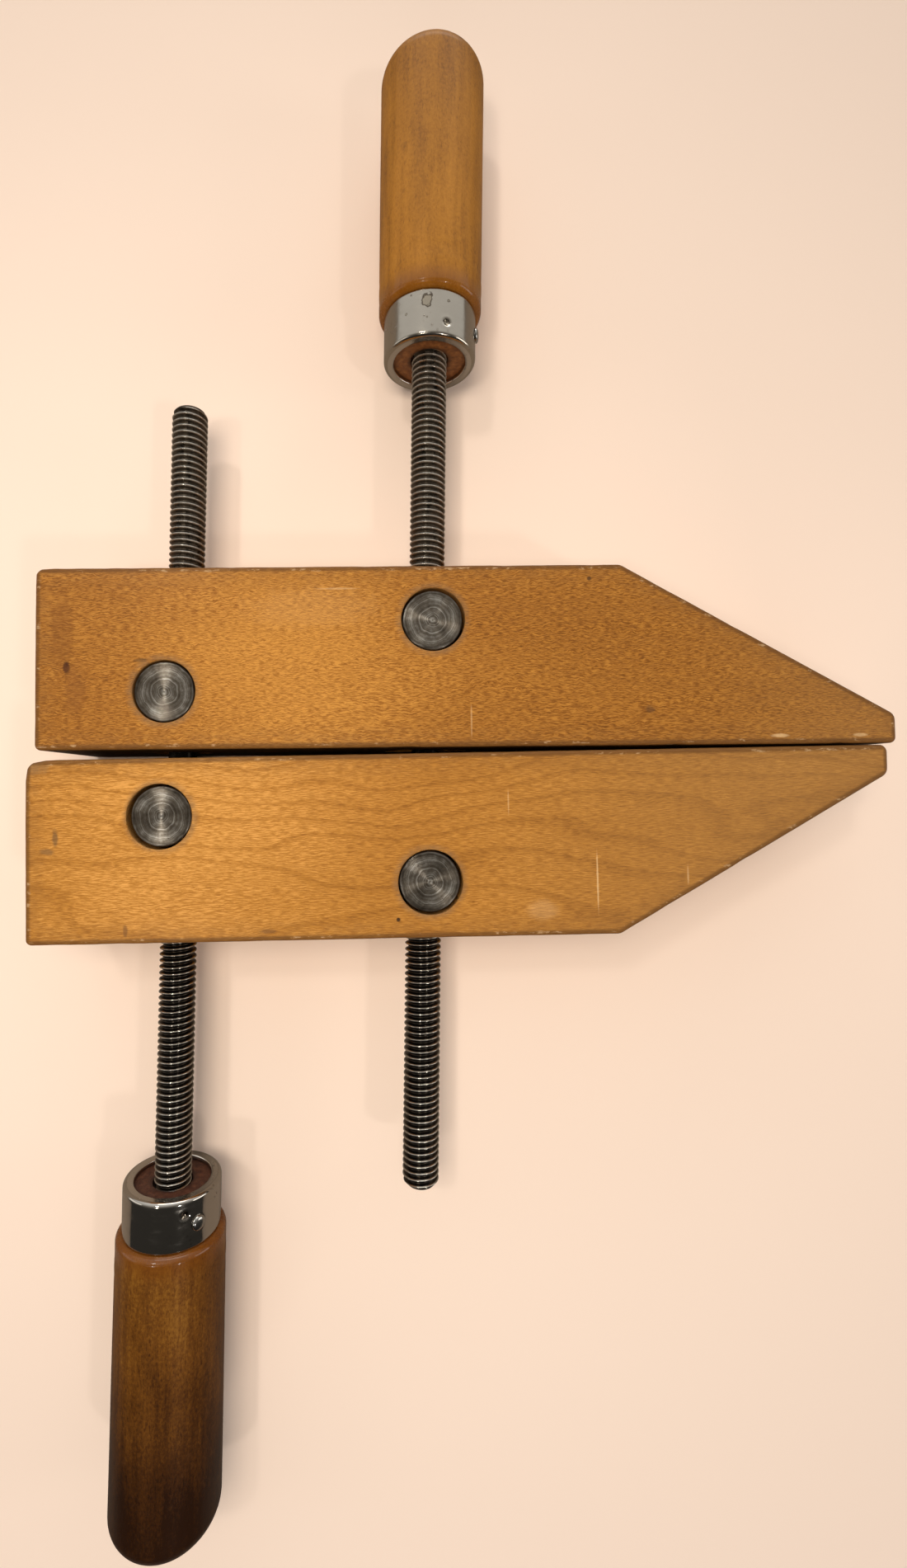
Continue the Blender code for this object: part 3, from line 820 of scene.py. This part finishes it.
def spindle_steel(name, dust_and_painted_light_side):
    """Dark oiled steel: bare worn crests, grimy roots, and duller, browner thread on one half, partly dust
    in patches and partly painted light.
    """
    shade = Shade(name)
    place = shade.place()
    z = shade.split(place)[2]
    radius = shade.radius(place)
    crest = shade.rise(radius, 4.30, 4.60)
    patches = shade.noise(place, (0.5, 0.5, 0.16), 4.0, 0.65)
    grit = shade.noise(place, 5.0, 2.0)
    # partly dust in patches, partly painted light: the thread on one half of the rod is painted a lighter,
    # duller brown
    half = shade.times(z, dust_and_painted_light_side)
    dust_and_painted_light = shade.times(shade.rise(half, -6.0, 10.0), shade.rise(patches, 0.25, 0.58))
    dust_and_painted_light = shade.times(dust_and_painted_light, shade.rise(grit, 0.35, 0.65, 0.35, 1.0))
    colour = shade.mix(crest, THREAD_ROOT, THREAD_CREST)
    colour = shade.stain(colour, dust_and_painted_light, 0.50, THREAD_DUST_AND_PAINTED_LIGHT)
    brown = shade.times(shade.rise(patches, 0.52, 0.75), shade.rise(grit, 0.40, 0.65))
    colour = shade.stain(colour, brown, 0.5, THREAD_BROWN)
    oily = shade.rise(shade.math("ABSOLUTE", z), 5.0, 8.0, 0.85, 0.0)
    colour = shade.mix(oily, colour, COLLAR_OIL)
    rough = shade.madd(dust_and_painted_light, 0.20, shade.madd(grit, 0.12, 0.14))
    metal = shade.madd(dust_and_painted_light, -0.25, 0.97)
    normal = shade.bump(shade.plus(grit, shade.times(patches, 0.6)), 0.015 * MM)
    return shade.finish(Base_Color=colour, Roughness=rough, Metallic=metal, Normal=normal)


def nut_steel(name):
    """Turned grey steel with ring scratches, brown stains, a few bright nicks, and painted shade round the
    rim.
    """
    shade = Shade(name)
    place = shade.place()
    radius = shade.radius(place)
    wobble = shade.times(shade.noise(place, (0.30, 0.30, 0.0), 2.0), 1.3)
    ringed = shade.join(shade.plus(radius, wobble), 0.0, 0.0)
    grooves = shade.noise(ringed, (1.5, 1.0, 1.0), 4.0, 0.75)
    stains = shade.noise(place, 0.22, 5.0, 0.65)
    specks = shade.rise(shade.noise(place, 2.2, 4.0, 0.7), 0.58, 0.70)
    nicks = shade.rise(shade.noise(place, 1.6, 5.0, 0.75), 0.66, 0.74)
    tone = shade.madd(grooves, 1.0, shade.madd(stains, 0.6, -0.30))
    colour = shade.ramp(tone, NUT_TONES)
    colour = shade.stain(colour, specks, 0.60, NUT_SPECK)
    colour = shade.stain(colour, nicks, 0.70, NUT_NICK)
    # painted shade: the outer rim of each end face is darkened, widening the dark ring where the nut meets
    # its hole
    rim = shade.rise(radius, 6.2, 7.0)
    colour = shade.stain(colour, rim, 0.5, NUT_RIM_PAINTED_SHADE)
    rough = shade.madd(grooves, 0.22, shade.madd(stains, 0.20, 0.14))
    height = shade.madd(specks, -0.6, shade.times(grooves, 1.2))
    round_and_round = shade.node("Tangent", direction_type="RADIAL", axis="Z").outputs[0]
    normal = shade.bump(height, 0.03 * MM)
    return shade.finish(Base_Color=colour, Roughness=rough, Metallic=0.92, Normal=normal, Anisotropic=0.92,
                        Anisotropic_Rotation=0.25, Tangent=round_and_round)


def nickel(name, tint, base_rough, dull, spots=()):
    """Bright warm plating with pits and smears. spots are its worn places, and on the ferrules the painted
    shade in the dimple, as (centre, reach).
    """
    shade = Shade(name)
    place = shade.place()
    smear = shade.noise(place, (0.20, 0.20, 0.45), 4.0, 0.6)
    scuff = shade.noise(place, (3.5, 3.5, 0.8), 3.0, 0.7)
    pits = shade.cells(place, 0.55)
    jitter = shade.noise(place, 0.12, 1.0)
    pit = shade.times(shade.fall(pits, 0.055, 0.12), shade.rise(jitter, 0.50, 0.60))
    bloom = shade.times(shade.fall(pits, 0.10, 0.30), shade.rise(jitter, 0.52, 0.62))
    colour = shade.mix(shade.times(smear, dull), tint, PLATING_SMEAR)
    colour = shade.stain(colour, bloom, 0.35, PLATING_BLOOM)
    ragged = shade.swing(shade.noise(place, 0.8, 4.0), 1.9)
    for centre, reach in spots:
        gap = shade.math("DIVIDE", shade.vector("DISTANCE", place, centre), reach)
        gap = shade.plus(gap, ragged)
        colour = shade.mix(shade.rise(gap, 0.75, 0.95, 0.5, 0.0), colour, SPOT_FACE)
        outline = shade.times(shade.rise(gap, 0.55, 0.80), shade.fall(gap, 0.85, 1.10))
        colour = shade.stain(colour, outline, 0.85, SPOT_EDGE)
    colour = shade.stain(colour, pit, 0.9, PLATING_PIT)
    rough = shade.madd(shade.rise(smear, 0.45, 0.75), 0.12, base_rough)
    rough = shade.madd(pit, 0.5, shade.madd(scuff, dull * 0.15, rough))
    height = shade.madd(pit, -1.0, shade.times(smear, 0.5))
    normal = shade.bump(height, 0.02 * MM)
    return shade.finish(Base_Color=colour, Roughness=rough, Metallic=1.0, Normal=normal)


def washer_fibre(name, tones):
    """Red-brown fibre board, mottled, dark with oil round the spindle, and with painted shadow round its
    outer edge under the ferrule's lip.
    """
    shade = Shade(name)
    place = shade.place()
    radius = shade.radius(place)
    mottle = shade.noise(place, 0.7, 5.0, 0.7)
    fibres = shade.noise(place, (6.0, 2.0, 2.0), 3.0, 0.6)
    tone = shade.madd(mottle, 0.7, shade.times(fibres, 0.3))
    colour = shade.ramp(tone, tones)
    # dark oil round the spindle, and painted shadow in a ring under the edge of the ferrule's lip
    oil_and_lip_shadow = shade.plus(shade.rise(radius, 5.0, 6.4, 0.65, 0.0), shade.rise(radius, 9.2, 9.9, 0.0, 0.8))
    colour = shade.mix(oil_and_lip_shadow, colour, WASHER_OIL_AND_SHADOW)
    return shade.finish(Base_Color=colour, Roughness=shade.madd(mottle, 0.3, 0.45),
                        Normal=shade.bump(tone, 0.08 * MM))


def floor_paper():
    """Plain peach paper, which polished metal and varnish see darker, as they would a bench."""
    shade = Shade("floor_paper")
    mirrored = shade.node("LightPath").outputs["Is Glossy Ray"]
    colour = shade.mix(mirrored, PAPER, PAPER_REFLECTED)
    return shade.finish(Base_Color=colour, Roughness=0.9, Specular_IOR_Level=0.1)


# ---------------------------------------------------------------- studio
def build_floor():
    bpy.ops.mesh.primitive_plane_add(size=12.0, location=(0, 0, 0))
    floor = bpy.context.object
    floor.name = "floor"
    floor.data.materials.append(floor_paper())


def add_light(name, place, aim, size, power, colour=(1.0, 1.0, 1.0), mirrored=True):
    data = bpy.data.lights.new(name, "AREA")
    data.shape = "RECTANGLE"
    data.size, data.size_y = size
    data.energy = power
    data.color = colour
    light = add_object(name, data)
    light.location = place
    light.visible_glossy = mirrored
    light.rotation_euler = (Vector(aim) - Vector(place)).to_track_quat("-Z", "Y").to_euler()
    light.visible_camera = False


# place from the -Y to the +Y side of the room, and how bright the room is there
ROOM_LEVELS = ((0.12, 0.025), (0.30, 0.045), (0.55, 0.21))
BACKDROP = (0.78, 0.66, 0.57, 1.0)


def build_world():
    """A dim room, dark towards -Y and white at its far +Y end, so metal reflects light on its +Y side only.

    The ramp's own last stop, white at 1, is kept. The camera sees a plain backdrop instead of the room."""
    world = bpy.data.worlds.new("studio")
    world.use_nodes = True
    tree = world.node_tree
    where = tree.nodes.new("ShaderNodeTexCoord")
    split = tree.nodes.new("ShaderNodeSeparateXYZ")
    ramp = tree.nodes.new("ShaderNodeValToRGB")
    spread = tree.nodes.new("ShaderNodeMapRange")
    tree.links.new(where.outputs["Generated"], split.inputs[0])
    tree.links.new(split.outputs[1], spread.inputs["Value"])
    spread.inputs["From Min"].default_value = -1.0
    tree.links.new(spread.outputs[0], ramp.inputs[0])
    steps = ramp.color_ramp.elements
    while len(steps) <= len(ROOM_LEVELS):
        steps.new(0.5)
    for element, (place, level) in zip(steps, ROOM_LEVELS):
        element.position = place
        element.color = (level, level * 0.93, level * 0.84, 1.0)
    seen = tree.nodes.new("ShaderNodeLightPath")
    backdrop = tree.nodes.new("ShaderNodeMix")
    backdrop.data_type = "RGBA"
    tree.links.new(seen.outputs["Is Camera Ray"], backdrop.inputs["Factor"])
    tree.links.new(ramp.outputs[0], backdrop.inputs[6])
    backdrop.inputs[7].default_value = BACKDROP
    tree.links.new(backdrop.outputs[2], tree.nodes["Background"].inputs[0])
    tree.nodes["Background"].inputs[1].default_value = 1.0
    bpy.context.scene.world = world


def build_studio():
    build_world()
    bpy.context.scene.view_settings.view_transform = "Standard"
    middle = (-0.01, 0.0, 0.02)
    add_light("lamp_back", (-0.36, 0.42, 0.93), middle, (0.09, 0.09), 1.35, (1.0, 0.94, 0.86))
    add_light("lamp_front", (-0.36, -0.30, 0.95), middle, (0.07, 0.07), 0.95, (1.0, 0.95, 0.88))
    add_light("lamp_right", (0.45, -0.50, 0.90), middle, (0.07, 0.07), 1.15, (1.0, 0.96, 0.92))
    add_light("glow", (-0.065, 0.012, 0.31), (-0.05, 0.01, 0.03), (0.12, 0.12), 0.56, (1.0, 0.90, 0.76),
              mirrored=False)
    add_light("back", (0.05, 0.95, 0.28), middle, (0.80, 0.30), 2.2, (1.0, 0.96, 0.91))
    add_light("front", (-0.10, -0.95, 0.26), middle, (0.80, 0.30), 3.4, (1.0, 0.95, 0.90),
              mirrored=False)
    add_light("left", (-0.85, 0.05, 0.26), middle, (0.30, 0.60), 0.5, (1.0, 0.96, 0.92))
    add_light("right", (0.95, -0.05, 0.26), middle, (0.30, 0.60), 1.5, (1.0, 0.97, 0.94))


def build_camera():
    """The viewpoint: a very wide lens about 155 mm above the jaws' top faces."""
    data = bpy.data.cameras.new("camera")
    data.lens = 15.04
    data.sensor_width = 36.0
    data.shift_x, data.shift_y = 0.0518, -0.0111
    data.clip_start, data.clip_end = 0.01, 50
    camera = add_object("camera", data)
    camera.location = (-0.0225, -0.00535, 0.1897)
    camera.rotation_euler = (math.radians(1.872), math.radians(-0.362), math.radians(-0.815))
    bpy.context.scene.camera = camera


# ---------------------------------------------------------------- the clamp
# each grain's pool entry is the centre and reach, in millimetres, of a painted pool of light on the jaw's
# top
UPPER_GRAIN = dict(
    fleck_scale=(0.62, 5.2), fleck=0.36, ticks=-0.24, ripple=1.1, rings=0.03, heart=(37.0, 42.0),
    dull_span=(150.0, 203.0), dull=0.25, painted_light_pool=((62.0, 20.0, 35.0), 52.0),
    tones=((0.10, (0.122, 0.041, 0.007)), (0.38, (0.259, 0.097, 0.014)), (0.58, (0.362, 0.149, 0.023)),
           (0.80, (0.526, 0.240, 0.045))))
LOWER_GRAIN = dict(
    fleck_scale=(0.45, 5.2), fleck=0.24, ticks=-0.24, ripple=0.35, rings=0.11, heart=(73.0, 42.0),
    dull_span=(90.0, 190.0), dull=0.38, painted_light_pool=((40.0, -10.0, 35.0), 60.0),
    tones=((0.10, (0.171, 0.061, 0.010)), (0.38, (0.314, 0.127, 0.020)), (0.58, (0.431, 0.186, 0.031)),
           (0.80, (0.647, 0.316, 0.078))))
TOP_HANDLE_TONES = ((0.20, (0.188, 0.070, 0.006)), (0.42, (0.324, 0.132, 0.012)),
                    (0.60, (0.414, 0.174, 0.019)), (0.85, (0.545, 0.254, 0.042)))
# painted shade: the bottom handle has much darker tones than the top one, a shaded copy of the same wood
BOTTOM_HANDLE_SHADED_TONES = ((0.18, (0.017, 0.005, 0.001)), (0.40, (0.053, 0.017, 0.002)),
                       (0.60, (0.129, 0.046, 0.005)), (0.85, (0.284, 0.125, 0.016)))
FERRULE_ROUGHNESS = {"mid": 0.15, "rear": 0.06}
TOP_WASHER_TONES = ((0.30, (0.070, 0.020, 0.004)), (0.50, (0.200, 0.070, 0.016)),
                    (0.70, (0.370, 0.155, 0.045)))
# painted shade: the bottom washer has much darker tones than the top one, a shaded copy of the same fibre
BOTTOM_WASHER_SHADED_TONES = ((0.30, (0.028, 0.008, 0.004)), (0.50, (0.075, 0.024, 0.011)),
                       (0.70, (0.160, 0.060, 0.028)))

# the z of a jaw's top face in its material, in millimetres
TOP = 35.0

# stains and knots, and in UPPER_MARKS one painted highlight: centre and reach in millimetres from the
# heel's inner corner, colour, strength
UPPER_MARKS = (
    ((7.6, 19.8, TOP), (1.0, 2.2, 3.0), (0.035, 0.010, 0.005), 0.95),
    ((6.4, 27.5, TOP), (3.4, 12.0, 5.0), (0.17, 0.060, 0.012), 0.42),
    ((9.6, 14.5, TOP), (3.2, 8.0, 5.0), (0.19, 0.070, 0.016), 0.42),
    ((25.4, 21.2, TOP), (2.0, 0.55, 4.0), (0.06, 0.032, 0.015), 0.60),
    ((27.0, 19.8, TOP), (0.5, 1.4, 4.0), (0.06, 0.032, 0.015), 0.50),
    # painted highlight: a broad pale patch near the top edge of the upper jaw
    ((66.0, 33.5, TOP), (20.0, 6.0, 6.0), (0.60, 0.330, 0.120), 0.16),
    ((132.1, 40.0, TOP), (0.6, 0.6, 3.0), (0.04, 0.020, 0.010), 0.80),
    ((146.0, 8.5, TOP), (1.4, 1.1, 3.0), (0.10, 0.045, 0.018), 0.60),
)
LOWER_MARKS = (
    ((7.2, -18.4, TOP), (0.9, 2.6, 4.0), (0.13, 0.070, 0.030), 0.70),
    ((5.2, -21.6, TOP), (2.2, 1.0, 4.0), (0.16, 0.085, 0.035), 0.65),
    ((87.5, -39.0, TOP), (0.55, 0.55, 3.0), (0.03, 0.014, 0.008), 0.95),
    ((23.5, -40.6, TOP), (0.7, 1.8, 4.0), (0.12, 0.050, 0.020), 0.6),
    ((57.0, -41.2, TOP), (2.6, 0.7, 4.0), (0.12, 0.050, 0.020), 0.6),
    ((1.0, -1.0, 30.0), (6.0, 3.0, 12.0), (0.22, 0.140, 0.070), 0.6),
)
UPPER_SCRATCHES = (((103.5, 6.0, TOP), (0.25, 5.0, 3.0), 0.30),
                   ((72.0, 38.0, TOP), (6.0, 0.3, 3.0), 0.30),
                   ((177.0, 2.0, TOP), (2.6, 0.6, 3.0), 0.7), ((196.0, 2.0, TOP), (2.0, 0.5, 3.0), 0.6))
LOWER_SCRATCHES = (((134.6, -31.0, TOP), (0.28, 8.5, 3.0), 0.50),
                   ((114.0, -12.0, TOP), (0.22, 3.5, 3.0), 0.3),
                   ((121.5, -37.5, TOP), (4.5, 3.0, 3.0), 0.16),
                   ((156.0, -30.0, TOP), (0.3, 2.8, 3.0), 0.35))

# places where an edge is knocked in, in millimetres: x, distance from the inner face, z, reach, depth
UPPER_CHIPS = (
    (190.5, 0.0, 35.0, 2.2, 0.5),
    (152.0, 0.0, 35.0, 1.6, 0.35),
    (0.0, 43.5, 35.0, 3.0, 0.5),
    (88.0, 0.0, 35.0, 3.0, 0.25),
    (204.8, 3.0, 0.0, 3.0, 0.5),
)
LOWER_CHIPS = (
    (0.0, 0.0, 35.0, 6.0, 1.3),
    (170.0, 25.5, 35.0, 2.0, 0.4),
    (183.0, 18.2, 35.0, 1.6, 0.35),
    (21.0, 43.5, 35.0, 2.5, 0.4),
    (120.0, 43.5, 0.0, 3.5, 0.5),
)


def hole_centres(side, heel):
    """The nuts' places in a jaw's own frame, in millimetres."""
    inverse = jaw_matrix(side, heel).inverted()
    nuts = [nut for nut in NUT_CENTRES if nut.startswith("upper" if side > 0 else "lower")]
    return [tuple((inverse @ NUT_CENTRES[nut]) / MM) for nut in nuts]


def on_ferrule(name, turn, height):
    """A place on a ferrule's side in its spindle's frame, in millimetres. height counts from the mouth."""
    spindle = SPINDLES[name]
    low, _, radius = span(name + "_ferrule", spindle)
    return tuple((facing(spindle, math.radians(turn)) * radius + Vector((0, 0, low + height * MM))) / MM)


def main():
    jaws = (("upper_jaw", 1, UPPER_GRAIN, UPPER_MARKS, UPPER_SCRATCHES, UPPER_CHIPS,
             (1.4 * MM, 1.4 * MM, 2.4 * MM, 3.0 * MM, 1.4 * MM)),
            ("lower_jaw", -1, LOWER_GRAIN, LOWER_MARKS, LOWER_SCRATCHES, LOWER_CHIPS,
             (1.6 * MM, 1.8 * MM, 2.4 * MM, 3.0 * MM, 1.4 * MM)))
    for name, side, grain, marks, scratches, chips, radii in jaws:
        low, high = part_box(name)
        inner_y = low.y if side > 0 else high.y
        heel = (low.x, inner_y + side * (HEEL_HALF_GAP - TIP_HALF_GAP), 0)
        wood = jaw_wood(name + "_wood", side, grain, marks, scratches, hole_centres(side, heel))
        jaw = build_jaw(name, side, heel, radii, chips, wood)
        cut_jaw(jaw, side, heel)
    steel = nut_steel("nut_steel")
    for number, nut in enumerate(NUT_CENTRES):
        build_nut(nut, 0.6 + 1.7 * number, steel)
    lip = nickel("ferrule_lip", (0.80, 0.75, 0.67), 0.16, 0.15)
    rivet = nickel("pin_steel", (0.50, 0.49, 0.46), 0.14, 0.30)
    # per spindle: handle tones, slope of the painted shade along the handle, washer tones, plating tint and
    # worn spots
    looks = {
        "mid": (TOP_HANDLE_TONES, 0.03, TOP_WASHER_TONES, (0.55, 0.50, 0.42),
                ((on_ferrule("mid", -8, 9.0), 1.7), (on_ferrule("mid", 18, 9.2), 0.45),
                 (on_ferrule("mid", -34, 6.5), 0.35), (on_ferrule("mid", -8, 4.6), 0.25))),
        "rear": (BOTTOM_HANDLE_SHADED_TONES, 0.20, BOTTOM_WASHER_SHADED_TONES, (0.58, 0.54, 0.48), ()),
    }
    for name, spindle in SPINDLES.items():
        handle_tones, painted_shade_slope, washer_tones, tint, spots = looks[name]
        shoulder, end = span(name + "_ferrule", spindle)[1] / MM, span(name + "_handle", spindle)[1] / MM
        build_spindle(name, spindle, spindle_steel(name + "_spindle_steel", spindle["side"]))
        dimple = on_ferrule(name, math.degrees(spindle["dimple"]), DIMPLE_HEIGHT / MM)
        # painted shade: a dark-edged spot in the dimple's hollow
        spots += ((dimple, 0.8),)
        bright = nickel(name + "_ferrule_nickel", tint, FERRULE_ROUGHNESS[name], 0.25, spots)
        build_ferrule(name, spindle, bright, lip)
        build_washer(name, spindle, washer_fibre(name + "_washer_fibre", washer_tones))
        build_handle(name, spindle, handle_wood(name + "_handle_wood", handle_tones, shoulder, end, painted_shade_slope))
        build_pin(name, spindle, rivet)
    build_floor()
    build_studio()
    build_camera()


main()
